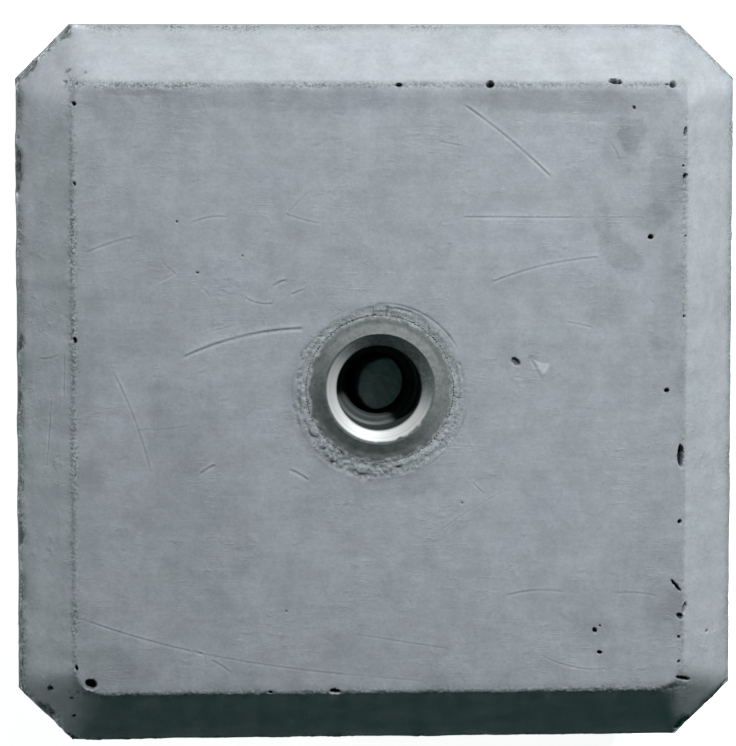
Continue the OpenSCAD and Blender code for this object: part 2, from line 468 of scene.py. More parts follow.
def graded_points(want_function, half_x, half_y, spacings=SPACINGS):
    """Points of each lattice, kept where the wanted spacing is nearer its own than the next one's."""
    limits = [math.inf, *(math.sqrt(a * b) for a, b in zip(spacings, spacings[1:])), 0.0]
    kept = []
    for n, spacing in enumerate(spacings):
        p = lattice_points(spacing, half_x, half_y)
        want = want_function(p)
        kept.append(p[(want < limits[n]) & (want >= limits[n + 1])])
        print("lattice", spacing, "mm:", len(kept[-1]), "points")
    return np.concatenate(kept)


mid_face_and_seam = np.array([[40.0, 50.0], [FLAT, 0.0]])
print("wanted spacing in mid face and on a seam, mm:", wanted_spacing(mid_face_and_seam).round(2))

# %% [markdown]
# The outline of the plan is a square with its corners cut off. Its points are shared by the top and
# the sides, so that the finished mesh is one closed skin.

# %% Outlines
def octagon(half, cut):
    """Corners of a square with cut corners, anticlockwise from the right end of the back edge."""
    a, b = half, half - cut
    return np.array([(b, a), (-b, a), (-a, b), (-a, -b), (-b, -a), (b, -a), (a, -b), (a, b), (b, a)],
                    float)


def along_outline(corners, place):
    """The point at each place, where place counts corners: 2.5 is halfway from corner 2 to corner 3."""
    n = np.arange(len(corners))
    return np.stack([np.interp(place, n, corners[:, 0]), np.interp(place, n, corners[:, 1])], axis=1)


def outline_places(corners, spacing):
    """Places around an outline, evenly spaced on each edge, without the last point."""
    lengths = np.hypot(*np.diff(corners, axis=0).T)
    counts = np.ceil(lengths / spacing).astype(int)
    return np.concatenate([n + np.arange(k) / k for n, k in enumerate(counts)])


outer = octagon(HALF, CUT)
foot = octagon(HALF - FOOT, CUT - FOOT * (2 - math.sqrt(2)))
edge_lengths = np.hypot(*np.diff(outer, axis=0).T)
mileage = np.concatenate([[0], np.cumsum(edge_lengths)])
ring_places = outline_places(outer, 0.6)
foot_places = outline_places(outer, 2.4)
ring = along_outline(outer, ring_places)
print("outline:", len(ring), "points at the shoulder,", len(foot_places), "at the foot")

# %% [markdown]
# A grid would need the same small step everywhere. Delaunay triangles join points that lie closer
# together in one place than in another, and no triangle is thinner than it has to be. An upright
# wall of the socket's seat is a pair of rings a fiftieth of a millimetre apart in plan, one at the
# top of the wall and one at its foot.

# %% Join points into triangles
TRIANGLES_INSIDE = 1    # Blender's number for keeping only what lies within the border
NEAREST = 1e-7          # two points closer than this would be merged, in mm


def triangulate(points, border):
    """Delaunay triangles of plan points whose first `border` points run around the outside."""
    made, _, faces, _, _, _ = delaunay_2d_cdt(
        [Vector(q) for q in points.tolist()], [], [list(range(border))],
        TRIANGLES_INSIDE, NEAREST, False)
    if len(made) != len(points):
        raise RuntimeError("two mesh points lie on one another")
    return np.array(faces)


def seat_ring(radius, count=168):
    """Points (r cos a, r sin a) on a circle around the socket's axis, a in equal steps."""
    a = np.arange(count) * 2 * math.pi / count
    return np.stack([radius * np.cos(a), radius * np.sin(a)], axis=1)


seat_radii = (COLLAR_R + 2 * SEAT_WALL, COLLAR_R + SEAT_WALL,
              SLEEVE_R + 2 * SEAT_WALL, SLEEVE_R + SEAT_WALL)
inner = graded_points(wanted_spacing, HALF, HALF)
inner_margin = np.minimum(HALF - np.abs(inner).max(axis=1),
                          (2 * HALF - CUT - np.abs(inner).sum(axis=1)) / math.sqrt(2))
inner_r = np.hypot(inner[:, 0], inner[:, 1])
inner_clear = ((inner_margin > 0.3) & (np.abs(inner_r - COLLAR_R - SEAT_WALL) > 0.2)
               & (np.abs(inner_r - SLEEVE_R) > 0.5))
top_plan = np.concatenate([ring, *[seat_ring(r) for r in seat_radii], inner[inner_clear]])
top_faces = triangulate(top_plan, len(ring))
print("top:", len(top_plan), "points,", len(top_faces), "triangles")

# %% [markdown]
# The sides are one band unrolled flat: the way around the block across, the way down to the
# underside up. Its two ends are the same upright line, so they share their points.

# %% Sides and underside
UNDER_SPACING = 4.0
SIDE_DOWN = SHOULDER - FOOT                     # length of the upright face
SIDE_LENGTH = SIDE_DOWN + FOOT * math.sqrt(2)   # with the foot chamfer
PERIMETER = mileage[-1]
SIDE_HOLES = 70
side_hole_at = np.stack([rng.uniform(4, PERIMETER - 4, SIDE_HOLES),
                         rng.uniform(3, SIDE_DOWN - 4, SIDE_HOLES)], axis=1)
side_hole_r = 0.45 + 1.5 * rng.random(SIDE_HOLES) ** 4     # most are small
SIDE_SPACINGS = (4.2, 2.1, 1.05, 0.55)


def side_spacing(q):
    """Wanted spacing on the unrolled side: fine under the arris and at air holes."""
    down = q[:, 1] + SIDE_LENGTH / 2
    across = q[:, 0] + PERIMETER / 2
    want = np.minimum(SIDE_SPACINGS[0], 0.7 + 0.28 * down)
    for (u, v), r in zip(side_hole_at, side_hole_r):
        away = np.hypot(across - u, down - v)
        want = np.minimum(want, max(0.42, 0.42 * r) + 0.45 * (away - r).clip(0))
    corner = np.abs(across[:, None] - mileage[None, :]).min(axis=1)
    return np.minimum(want, 0.9 + 0.5 * (corner - 0.6).clip(0))


side_inner = graded_points(side_spacing, PERIMETER / 2, SIDE_LENGTH / 2, SIDE_SPACINGS)
side_inner = side_inner + np.array([PERIMETER, SIDE_LENGTH]) / 2
side_clear = ((side_inner[:, 1] > 0.35) & (side_inner[:, 1] < SIDE_LENGTH - 0.9)
              & (side_inner[:, 0] > 0.6) & (side_inner[:, 0] < PERIMETER - 0.6))
side_inner = side_inner[side_clear]
end_line = np.concatenate([np.arange(0.8, 8, 0.8), np.arange(8, SIDE_LENGTH - 1.2, 1.8)])
ring_way = np.interp(ring_places, np.arange(len(mileage)), mileage)
foot_way = np.interp(foot_places, np.arange(len(mileage)), mileage)
band = np.concatenate([
    np.stack([ring_way, 0 * ring_way], axis=1), [[PERIMETER, 0.0]],
    np.stack([0 * end_line + PERIMETER, end_line], axis=1), [[PERIMETER, SIDE_LENGTH]],
    np.stack([foot_way, 0 * foot_way + SIDE_LENGTH], axis=1)[::-1],
    np.stack([0 * end_line, end_line], axis=1)[::-1], side_inner])
border = len(ring_way) + 2 * len(end_line) + len(foot_way) + 2
band_faces = triangulate(band, border)

under_inner = lattice_points(UNDER_SPACING, HALF, HALF)
under_margin = np.minimum(HALF - FOOT - np.abs(under_inner).max(axis=1),
                          (foot[0].sum() - np.abs(under_inner).sum(axis=1)) / math.sqrt(2))
under_inner = under_inner[under_margin > 1.2]
foot_ring = along_outline(foot, foot_places)
under_plan = np.concatenate([foot_ring, under_inner])
under_faces = triangulate(under_plan, len(foot_ring))
print("sides:", len(band_faces), "triangles, underside:", len(under_faces), "triangles")

# %% [markdown]
# The three sheets share their borders: the ring of points at the shoulder belongs to the top and to
# the sides, the ring at the foot to the sides and to the underside. A shared point is numbered once,
# so the skin is closed from the start and no doubles have to be merged.

# %% Sew top, sides and underside into one skin
top_z = TOP - fall(top_plan)
top_z[:len(ring)] = SHOULDER
in_collar_seat = np.hypot(top_plan[:, 0], top_plan[:, 1]) < COLLAR_R + 1.5 * SEAT_WALL
in_sleeve_seat = np.hypot(top_plan[:, 0], top_plan[:, 1]) < SLEEVE_R + 1.5 * SEAT_WALL
top_z[in_collar_seat] = TOP - COLLAR_SEAT
top_z[in_sleeve_seat] = TOP - SLEEVE_SEAT

n_top, n_ring, n_end, n_foot = len(top_plan), len(ring), len(end_line), len(foot_ring)
first_end = n_top
first_side = first_end + n_end
first_foot = first_side + len(side_inner)
first_under = first_foot + n_foot
band_index = np.concatenate([
    np.arange(n_ring), [0], first_end + np.arange(n_end), [first_foot],
    (first_foot + np.arange(n_foot))[::-1], (first_end + np.arange(n_end))[::-1],
    first_side + np.arange(len(side_inner))])


def side_point(way, down):
    """Place of a point of the unrolled side: upright first, then in along the foot chamfer."""
    place = np.interp(way, mileage, np.arange(len(mileage)))
    share = ((down - SIDE_DOWN) / (SIDE_LENGTH - SIDE_DOWN)).clip(0, 1)[:, None]
    plan = along_outline(outer, place) * (1 - share) + along_outline(foot, place) * share
    z = np.where(down < SIDE_DOWN, SHOULDER - down, FOOT * (1 - share[:, 0]))
    return np.column_stack([plan, z])


base = np.concatenate([
    np.column_stack([top_plan, top_z]),
    side_point(np.zeros(n_end), end_line),
    side_point(side_inner[:, 0], side_inner[:, 1]),
    np.column_stack([foot_ring, np.zeros(n_foot)]),
    np.column_stack([under_inner, np.zeros(len(under_inner))])])
under_index = np.concatenate([first_foot + np.arange(n_foot), first_under + np.arange(len(under_inner))])
block_faces = np.concatenate(
    [top_faces, band_index[band_faces][:, ::-1], under_index[under_faces][:, ::-1]])
is_top = np.arange(len(base)) < n_top
is_under = np.arange(len(base)) >= first_foot
print("block skin:", len(base), "points,", len(block_faces), "triangles")

# %% [markdown]
# ## Which way is out
# The marks push the skin inwards. Near an arris two faces disagree on which way that is, so the
# outward direction is a blend of all the block's planes, each weighing less the further away it is.

# %% Outward directions
BLEND = 0.5             # distance, in mm, over which a plane's weight falls to about a third


def plane_distances(p):
    """Depth of points inside each of the block's planes, and the planes' outward directions.

    The block is the same on all four sides, so a plane is written once, for the side that the
    signs of x and y give.
    """
    ax, ay, z = np.abs(p[:, 0]), np.abs(p[:, 1]), p[:, 2]
    sx, sy, o = np.sign(p[:, 0]), np.sign(p[:, 1]), np.zeros(len(p))
    root2 = math.sqrt(2)
    facet = math.hypot(1, root2 * FACET_FALL)
    planes = [
        (TOP - z, o, o, o + 1), (z, o, o, o - 1),
        (HALF - ax, sx, o, o), (HALF - ay, o, sy, o),
        ((FLAT + TOP - ax - z) / root2, sx / root2, o, o + 1 / root2),
        ((FLAT + TOP - ay - z) / root2, o, sy / root2, o + 1 / root2),
        ((2 * HALF - CUT - ax - ay) / root2, sx / root2, sy / root2, o),
        ((TOP - z - (ax + ay - 2 * FLAT + EASE) * FACET_FALL) / facet,
         sx * FACET_FALL / facet, sy * FACET_FALL / facet, o + 1 / facet),
        ((ax + (FOOT - z) - HALF) / -root2, sx / root2, o, o - 1 / root2),
        ((ay + (FOOT - z) - HALF) / -root2, o, sy / root2, o - 1 / root2)]
    return np.stack([q[0] for q in planes]), np.stack([np.stack(q[1:], axis=1) for q in planes])


depths, ways = plane_distances(base)
weights = np.exp(-np.abs(depths) / BLEND)
out = (weights[:, :, None] * ways).sum(axis=0)
out /= np.linalg.norm(out, axis=1)[:, None]
arris_gap = np.abs(depths[[2, 3, 6]]).min(axis=0)      # from the nearest upright plane
shoulder_gap = np.hypot(arris_gap, (SHOULDER - base[:, 2]).clip(0))
print("points within 1 mm of the outer arris:", int((shoulder_gap < 1.0).sum()))

# %% [markdown]
# ## Relief
# Every mark adds to one number, the depth of the skin below its plain place. A bump in the material
# could fake the shallow ones, but only real relief changes the outline and casts shadows. The seams
# come first: where the bevels meet the flat top, water leaked out past the strips and left sand, so a
# seam is grains with gaps between them. Cell noise gives the grains.

# %% Relief of the seams
plan = base[:, :2]
x, y = base[:, 0], base[:, 1]
ax, ay = np.abs(x), np.abs(y)
depth = np.full(len(base), SKIN)
grit = np.zeros(len(base))      # how sandy the surface is, for the material
shade_in_hollows = np.zeros(len(base))      # how much painted shade sits in a hole, chip or groove, for the material
flat_part = is_top & (np.hypot(x, y) > COLLAR_R + 1.5 * SEAT_WALL)

from_side_seam = np.where(ay < FLAT + 2, np.abs(ax - FLAT), AFAR)
from_end_seam = np.where(ax < FLAT + 2, np.abs(ay - FLAT + np.where(y > 0, 0.6, 0.0)), AFAR)
seam_noise = 0.6 + 0.6 * noise(base, 9.0, 41)
left_seam = 0.68 + 0.32 * smooth_step(-10.0, 55.0, y)     # sandiest towards the back
left_right = np.where(x < 0, left_seam, 0.5) * np.exp(-(from_side_seam / np.where(x < 0, 1.2, 1.0)) ** 2)
front_back = np.where(y < 0, 0.75, 0.85) * np.exp(-from_end_seam ** 2)
seam = np.maximum(left_right, front_back) * seam_noise.clip(0.2, 1.2) * flat_part
sand = (0.62 - grains(base, 1.15, 43)).clip(-0.4, 0.6)
sand_fine = (0.6 - grains(base, 0.6, 47)).clip(-0.4, 0.6)
depth += seam * (0.20 - 0.38 * sand - 0.18 * sand_fine)
step = (smooth_step(0.9, -0.2, ay - FLAT + 0.5 * noise(base, 3.0, 45))     # a lip where a strip lay
        * smooth_step(-2.2, -0.6, ay - FLAT))
depth += np.where(ax < FLAT - 1, step, 0) * np.where(y > 0, 0.30, 0.12) * seam_noise.clip(0, 1) * flat_part
grit = np.maximum(grit, seam * np.where(x < 0, 1.45, 1.0))
print("sandy points:", int((grit > 0.5).sum()))

# %% [markdown]
# Right of the socket a thin flake of paste stuck to the face. It could be a piece of its own, but
# it is one with the casting, so the skin stands higher there: the place is told by how far a point
# is inside the three edges, made ragged with noise. A furrow runs along the left edge.

# %% Relief of the flake
FLAKE_THICK = 0.11
edges = []
for (x0, y0), (x1, y1) in zip(FLAKE, FLAKE[1:] + FLAKE[:1]):
    long = math.hypot(x1 - x0, y1 - y0)
    edges.append(((x1 - x0) * (y - y0) - (y1 - y0) * (x - x0)) / long)
inward = np.min(edges, axis=0) + 0.25 * noise(base, 1.2, 49)
flake = smooth_step(0.0, 0.5, inward) * flat_part
depth -= FLAKE_THICK * flake
depth += 0.22 * np.exp(-((inward + 0.35) / 0.35) ** 2) * smooth_step(46.5, 43.5, x + 0.3 * y) * flat_part
print("points on the flake:", int((flake > 0.5).sum()))

# %% [markdown]
# The outer arris, where a bevel meets an upright face, is the first thing to touch the ground. It
# is rubbed round, crumbles into grains and wanders from the straight, most on the left, and chips
# are missing from it. A Bevel modifier would round it evenly. Here the rounding fades out with the
# distance from the arris and noise breaks it up. A chip is a bowl with a length along the arris and
# a reach across it.

# %% Relief of the arrises
CHIPS_END_Z = 60        # no chip reaches lower on an upright face
rub = np.exp(-(shoulder_gap / 1.3) ** 2)
rubbed = (0.25 + 0.35 * (layered(base, 14.0, 51) + 0.3).clip(0)) * rub
left_edge = (x < -HALF + 8) | ((ax + ay > 2 * HALF - CUT - 8) & (x < 0))
crumble = np.exp(-(shoulder_gap / 1.7) ** 2) * np.where(left_edge, 1.0, 0.6)
crumble *= (0.60 + 0.9 * noise(base, 7.0, 55)).clip(0.15, 1.2)
depth += rubbed + crumble * (0.20 + 0.32 * noise(base, 1.1, 57) + 0.20 * noise(base, 0.6, 58))
wander = np.exp(-(shoulder_gap / 3.0) ** 2) * (0.35 * noise(base, 11.0, 53) + 0.25 * noise(base, 4.0, 54))
depth += wander * np.where(left_edge, 1.2, 0.3)
grit = np.maximum(grit, 1.5 * crumble)
for chip in CHIPS:
    away = chip_distance(base, chip) + 0.30 * noise(base, 1.6, 61)
    down = (SHOULDER - base[:, 2]).clip(0) / (1.3 * chip[3])
    bite = (1.0 - np.hypot(away, down) ** 2).clip(0) ** 0.7
    depth += chip[4] * bite * (is_top | (base[:, 2] > CHIPS_END_Z))
    grit = np.maximum(grit, 0.7 * smooth_step(0.0, 0.35, bite))
    # the inner walls of chips on the left arris face away from the lamp and get painted shade
    painted_dark = smooth_step(0.15, 0.7, bite * (1.0 + 1.2 * noise(base, 1.3, 71)))
    shade_in_hollows = np.maximum(shade_in_hollows, 0.6 * painted_dark * left_edge)
print("points in the chips:", int((shade_in_hollows > 0.3).sum()))

# %% [markdown]
# Mortar was pressed in around the socket and levelled with a turned tool, which left rings and a
# scribed line. The ring of mortar lies a little off the socket's axis and is roughest at the front
# left. Its edge is a radius with noise on it, the lumps are noise of the plan, and the tool's
# rings are noise of the radius and the angle, drawn out along the turn.

# %% Relief of the mortar ring
MORTAR_ROUGH_SIDE = math.radians(245)   # the ring is widest and roughest at the front left
from_mortar = np.hypot(x - MORTAR_AT[0], y - MORTAR_AT[1])
from_axis = np.hypot(x, y)
turned = np.arctan2(y, x)
low_left = 0.5 + 0.5 * np.cos(turned - MORTAR_ROUGH_SIDE)
edge_r = MORTAR_R - 0.9 + 0.9 * low_left + 1.0 * noise(base, 5.0, 63) + 0.4 * noise(base, 1.6, 64)
bed = smooth_step(0.5, -0.7, from_mortar - edge_r) * flat_part
lumps = (0.17 * noise(base, 1.7, 65) + 0.14 * noise(base, 0.75, 66)) * (0.35 + 1.5 * low_left ** 2)
ridges = 0.26 * noise(np.column_stack([from_mortar, turned * 3.5, 0 * x]), 0.9, 68)
depth += bed * (0.22 - lumps - ridges)
crack = np.exp(-(noise(base, 5.5, 67) / 0.035) ** 2) * bed * smooth_step(0.0, 0.3, noise(base, 7.0, 60))
depth += 0.25 * crack
# painted shade in the crack
shade_in_hollows = np.maximum(shade_in_hollows, 0.5 * crack)
toe = smooth_step(COLLAR_R + 2.2, COLLAR_R + 0.1, from_axis + 0.5 * noise(base, 2.4, 62)) * flat_part
depth += 0.28 * toe
scribe = (np.exp(-((from_mortar - MORTAR_R - 0.1) / 0.20) ** 2)
          * smooth_step(-0.3, 0.2, noise(base, 9.0, 69)))
scribe += (0.7 * np.exp(-((from_mortar - MORTAR_R + 2.1) / 0.20) ** 2)
           * smooth_step(0.0, 0.3, noise(base, 7.0, 70)))
depth += 0.20 * scribe * flat_part * (1.2 - low_left)
# painted shade in the scribed line, weakest at the front left
shade_in_hollows = np.maximum(shade_in_hollows, 0.35 * scribe * flat_part * (1.2 - low_left))
grit = np.maximum(grit, 0.45 * bed)
print("points on the mortar ring:", int((bed > 0.5).sum()))

# %% [markdown]
# An air hole is a steep-walled bowl with a ragged rim. A scratch is a groove with a burr on one
# side, and a tick is a short one. A sculpting brush could make them all, but a list of places can
# be corrected number by number, and every run gives the same marks.

# %% Relief of the air holes, scratches and ticks
worn = np.zeros(len(base))      # how far a burr is rubbed pale, for the material
for number, hole in enumerate(AIR_HOLES):
    away = hole_distance(base, hole) * (1.0 + 0.16 * noise(base, 0.9, 73 + number))
    bowl = smooth_step(1.08, 0.62, away) * is_top
    depth += 1.35 * hole[5] * bowl
    # painted shade in the air hole, darker in deeper holes
    shade_in_hollows = np.maximum(shade_in_hollows, smooth_step(1.06, 0.72, away) * is_top * min(1.0, hole[5] / 0.75))
for scratch in SCRATCHES:
    across, along, past = scratch_distance(base, scratch)
    half, deep = scratch[5], scratch[6]
    fade = np.exp(-(past / 0.6) ** 2) * (0.75 + 0.35 * noise(base, 5.0, 79)) * flat_part
    groove = np.exp(-(across / (0.7 * half)) ** 2)
    burr = np.exp(-((across - 1.5 * half) / (0.7 * half)) ** 2)
    depth += 1.6 * deep * fade * (groove - 0.55 * burr)
    worn = np.maximum(worn, (4.0 * deep * fade * burr).clip(0, 1))
for n in range(TICKS):
    dx, dy = x - tick_at[n, 0], y - tick_at[n, 1]
    c, s = math.cos(tick_way[n]), math.sin(tick_way[n])
    across, along = dy * c - dx * s, (dx * c + dy * s) / tick_half[n]
    fade = np.exp(-along ** 4) * flat_part
    groove, burr = np.exp(-(across / 0.28) ** 2), np.exp(-((across - 0.5) / 0.3) ** 2)
    depth += tick_deep[n] * fade * (groove - 0.6 * burr)
print("dirty points:", int((shade_in_hollows > 0.5).sum()), "rubbed points:", int((worn > 0.3).sum()))

# %% [markdown]
# The rest of the skin is as the mould left it: nearly plain, with a slow wave and a finer one, and
# small air holes in the sides. The underside was the open top of the mould, so it is the roughest:
# it was floated with a trowel, and the strokes run from front to back.

# %% Relief of the face, the sides and the underside
depth += (0.05 * layered(base, 45.0, 81) + 0.02 * layered(base, 8.0, 83, 2)) * flat_part
side = ~is_top & ~is_under
depth += side * (0.08 * layered(base, 30.0, 85) + 0.04 * layered(base, 5.0, 87, 2)).clip(-0.1)
way = np.zeros(len(base))
way[first_side:first_foot] = side_inner[:, 0]
drop = SHOULDER - base[:, 2]
for (u, v), r in zip(side_hole_at, side_hole_r):
    away = np.hypot(way - u, drop - v) / r * (1.0 + 0.15 * noise(base, 1.0, 89))
    bowl = smooth_step(1.05, 0.55, away) * side
    depth += 1.1 * r * bowl
    # painted shade in the side's air hole
    shade_in_hollows = np.maximum(shade_in_hollows, 0.8 * bowl)
trowel = 0.35 * layered(base * [1.0, 0.35, 1.0], 12.0, 91) + 0.22 * layered(base, 3.5, 93, 2)
depth += is_under * (0.25 + trowel).clip(0)
foot_rub = np.exp(-(base[:, 2] / 2.5) ** 2) * side
depth += foot_rub * 0.3 * (layered(base, 4.0, 95) + 0.4).clip(0)
seat = is_top & ~flat_part
depth[seat] = 0.0
skin = base - out * depth.clip(0)[:, None]
skin[:, 2] = skin[:, 2].clip(0, TOP)
print("deepest mark, mm:", depth.max().round(2))

# %% [markdown]
# ## The block's mesh
# The material has to know where there is sand, where shade is painted into holes, chips and grooves,
# and how pale the paste is, which carries painted light and painted shade too. A texture laid over the
# block would not know it. So each point of the mesh carries these as numbers, worked out from the same
# distances as the relief, and the colours follow the relief exactly.

# %% Make the block's mesh
SHARP = math.radians(65)        # an edge turning more than this is shaded as a sharp one


def mesh_object(name, points, faces, attributes):
    """A smooth-shaded object from points in mm, triangles or quads, and one number per point."""
    mesh = bpy.data.meshes.new(name)
    mesh.from_pydata((points * MM).tolist(), [], faces.tolist() if hasattr(faces, "tolist") else faces)
    mesh.validate()
    mesh.shade_smooth()
    mesh.set_sharp_from_angle(angle=SHARP)
    for key, values in attributes.items():
        mesh.attributes.new(key, "FLOAT", "POINT").data.foreach_set("value", np.asarray(values, np.float32))
    made = bpy.data.objects.new(name, mesh)
    bpy.context.scene.collection.objects.link(made)
    return made


# How much paler than the face each bevel is: the strips' wet paste dried paler, and painted light is
# added on top, most on the left and front bevels, which face away from the lamp, and least on the back
# bevel's right, where the lamp is strongest. The corner facets are painted less pale.
past_x, past_y = (ax - FLAT).clip(0), (ay - FLAT).clip(0)
across_share = past_x / (past_x + past_y + 1e-6)
pale_x, pale_y = np.where(x < 0, 0.56, 0.31), np.where(y < 0, 0.38, 0.17 - 0.0007 * x)
pale = pale_x * across_share + pale_y * (1 - across_share)
pale = pale * smooth_step(0.1, 1.2, np.maximum(past_x, past_y))
facet = smooth_step(-2.5, 2.5, (ax + ay - 2 * FLAT + EASE) * FACET_FALL - np.maximum(past_x, past_y))
pale *= 1.0 - 0.5 * facet
# painted light: the strip along the left arris, which the lamp leaves in shade, is painted lighter with
# light and dark speckles; the other arrises are painted a little darker
speckle = np.where(left_edge, 1.3, 0.2) * (0.6 * noise(base, 0.9, 96) + 0.6 * noise(base, 2.2, 94))
arris_tone_and_painted_light = np.where(left_edge, 0.55, -0.25) + speckle
pale += arris_tone_and_painted_light * np.exp(-((shoulder_gap - 0.3 * noise(base, 5.0, 98)) / 1.2) ** 2)
border_gap = FLAT - np.maximum(ax, ay)      # from the border of the flat top, inwards
handled = np.exp(-(border_gap / 9.0) ** 2) * (layered(base, 8.0, 99) + 0.25).clip(0) * (border_gap > 0)
pale -= 0.22 * handled
# painted shade on the front left of the mortar ring, the side turned away from the lamp
pale -= 0.26 * low_left ** 2 * smooth_step(27.5, 23.5, from_axis + 1.5 * noise(base, 4.0, 97))
pale = np.where(is_top, pale, 0.25)
block = mesh_object("cast_block", skin, block_faces, {
    "grit": grit.clip(0, 1), "hollow_shade": shade_in_hollows.clip(0, 1), "pale": pale, "flake": np.maximum(flake, worn)})
print("cast block:", len(block.data.polygons), "faces")

# %% [markdown]
# ## The steel socket
# The socket is a turned part, so one profile carried around the axis gives all of it: a closed end,
# the sleeve, the collar, a countersink, the pilot bore, a narrow step, and the thread. The
# thread is the one place where the radius also depends on the angle: its ridges rise one pitch in
# each turn. Hardened slurry and dust lie in the bottom. A Screw modifier could turn the plain
# profile, but not the thread's runout, the dust or the paste on the collar, so the rings of points
# are computed.

# %% Profile of the socket, in mm from the axis and below the flat top
CREST_R, CREST_Z = 15.0, -0.3   # where the collar meets the countersink
RIM_Z = -1.25           # outer rim of the collar
COLLAR_Z = -3.5         # underside of the collar
MOUTH_Z = -3.6          # foot of the countersink, where the pilot bore starts
LEDGE_Z = -17.1         # floor of the pilot bore
STEP_R = 10.95          # inner edge of the slope at the foot of the pilot bore
THREAD_Z = -17.9        # start of the thread
THREAD_END_Z = -33.9    # floor of the threaded bore
SLEEVE_END_Z = -38.9    # closed end of the socket
PITCH = 2.5
THREAD_DEEP = 1.3
DUST_HEIGHT = 12.0      # the slurry and dust in the bottom stand this high
DUST_AT = (3.0, -1.0)   # the dust lies off the middle
AROUND = 360            # steps of a turn


def stretch(start, end, count):
    """Points along a straight stretch of the profile, without its last point."""
    return np.linspace(start, end, count, endpoint=False)


share = np.linspace(0.0, 1.0, 16)
RIM_R = COLLAR_R + 2.5 * SEAT_WALL          # the collar is bedded tight: its rim touches the concrete
collar_r = RIM_R + (CREST_R + 0.5 - RIM_R) * share
collar_curve = np.column_stack([collar_r, CREST_Z - 0.05 + (RIM_Z - CREST_Z) * (1 - share) ** 1.15])
round_turn = np.linspace(0.0, 0.75 * math.pi / 2, 6)
crest_curve = np.column_stack([
    CREST_R + 0.35 - 0.4 * np.sin(round_turn), CREST_Z - 0.4 * (1 - np.cos(round_turn))])
profile = np.concatenate([
    stretch((0.5, SLEEVE_END_Z), (SLEEVE_R - 0.6, SLEEVE_END_Z), 4),
    stretch((SLEEVE_R - 0.4, SLEEVE_END_Z + 0.1), (SLEEVE_R, SLEEVE_END_Z + 0.7), 3),
    stretch((SLEEVE_R, SLEEVE_END_Z + 1), (SLEEVE_R, COLLAR_Z), 8),
    stretch((SLEEVE_R, COLLAR_Z), (COLLAR_R, COLLAR_Z), 4),
    stretch((RIM_R, COLLAR_Z + 0.1), (RIM_R, RIM_Z - 0.2), 4),
    collar_curve, crest_curve,
    stretch((CREST_R - 0.15, CREST_Z - 0.35), (PILOT_R + 0.1, MOUTH_Z + 0.15), 14),
    stretch((PILOT_R, MOUTH_Z - 0.1), (PILOT_R, LEDGE_Z + 0.75), 14),
    stretch((PILOT_R, LEDGE_Z + 0.7), (STEP_R, LEDGE_Z), 5),
    stretch((STEP_R - 0.05, LEDGE_Z), (THREAD_R + 0.85, LEDGE_Z), 4),
    stretch((THREAD_R + 0.8, LEDGE_Z - 0.05), (THREAD_R, THREAD_Z), 4),
    stretch((THREAD_R, THREAD_Z), (THREAD_R, THREAD_END_Z + DUST_HEIGHT * 0.2), 64),
    stretch((THREAD_R, THREAD_END_Z), (0.5, THREAD_END_Z), 26),
])
print("socket profile:", len(profile), "points")

# %% [markdown]
# On a lathe the metal turns and the tool follows the profile. Here each point of the profile becomes
# a ring of points, after a function has changed its radius and height by the angle, which is what
# gives a thread its slope. A fan of triangles closes each end, so that the socket has no hole in
# its skin.

# %% Carry the profile around the axis
def closed_turning(profile, around, change):
    """Rings of points from a profile of radius and height, closed at both ends by a fan.

    Ring i, step j is (r cos a, r sin a, z) with a = 2 pi j / around, after `change` has altered
    r and z as functions of the ring, the angle and the plan.
    """
    a = np.arange(around) * 2 * math.pi / around
    r = np.repeat(profile[:, :1], around, axis=1)
    z = np.repeat(profile[:, 1:], around, axis=1)
    r, z = change(r, z, a[None, :])
    p = np.stack([r * np.cos(a), r * np.sin(a), z], axis=2).reshape(-1, 3)
    i, j = np.meshgrid(np.arange(len(profile) - 1), np.arange(around), indexing="ij")
    k = (j + 1) % around
    quads = np.stack([i * around + j, i * around + k,
                      (i + 1) * around + k, (i + 1) * around + j], axis=2)
    last = (len(profile) - 1) * around
    j, k = np.arange(around), (np.arange(around) + 1) % around
    p = np.concatenate([p, [[0, 0, z[0].mean()], [0, 0, z[-1].mean()]]])
    fans = np.concatenate([
        np.stack([j * 0 + len(p) - 2, k, j], axis=1),
        np.stack([j * 0 + len(p) - 1, last + j, last + k], axis=1)])
    return p, quads.reshape(-1, 4), fans


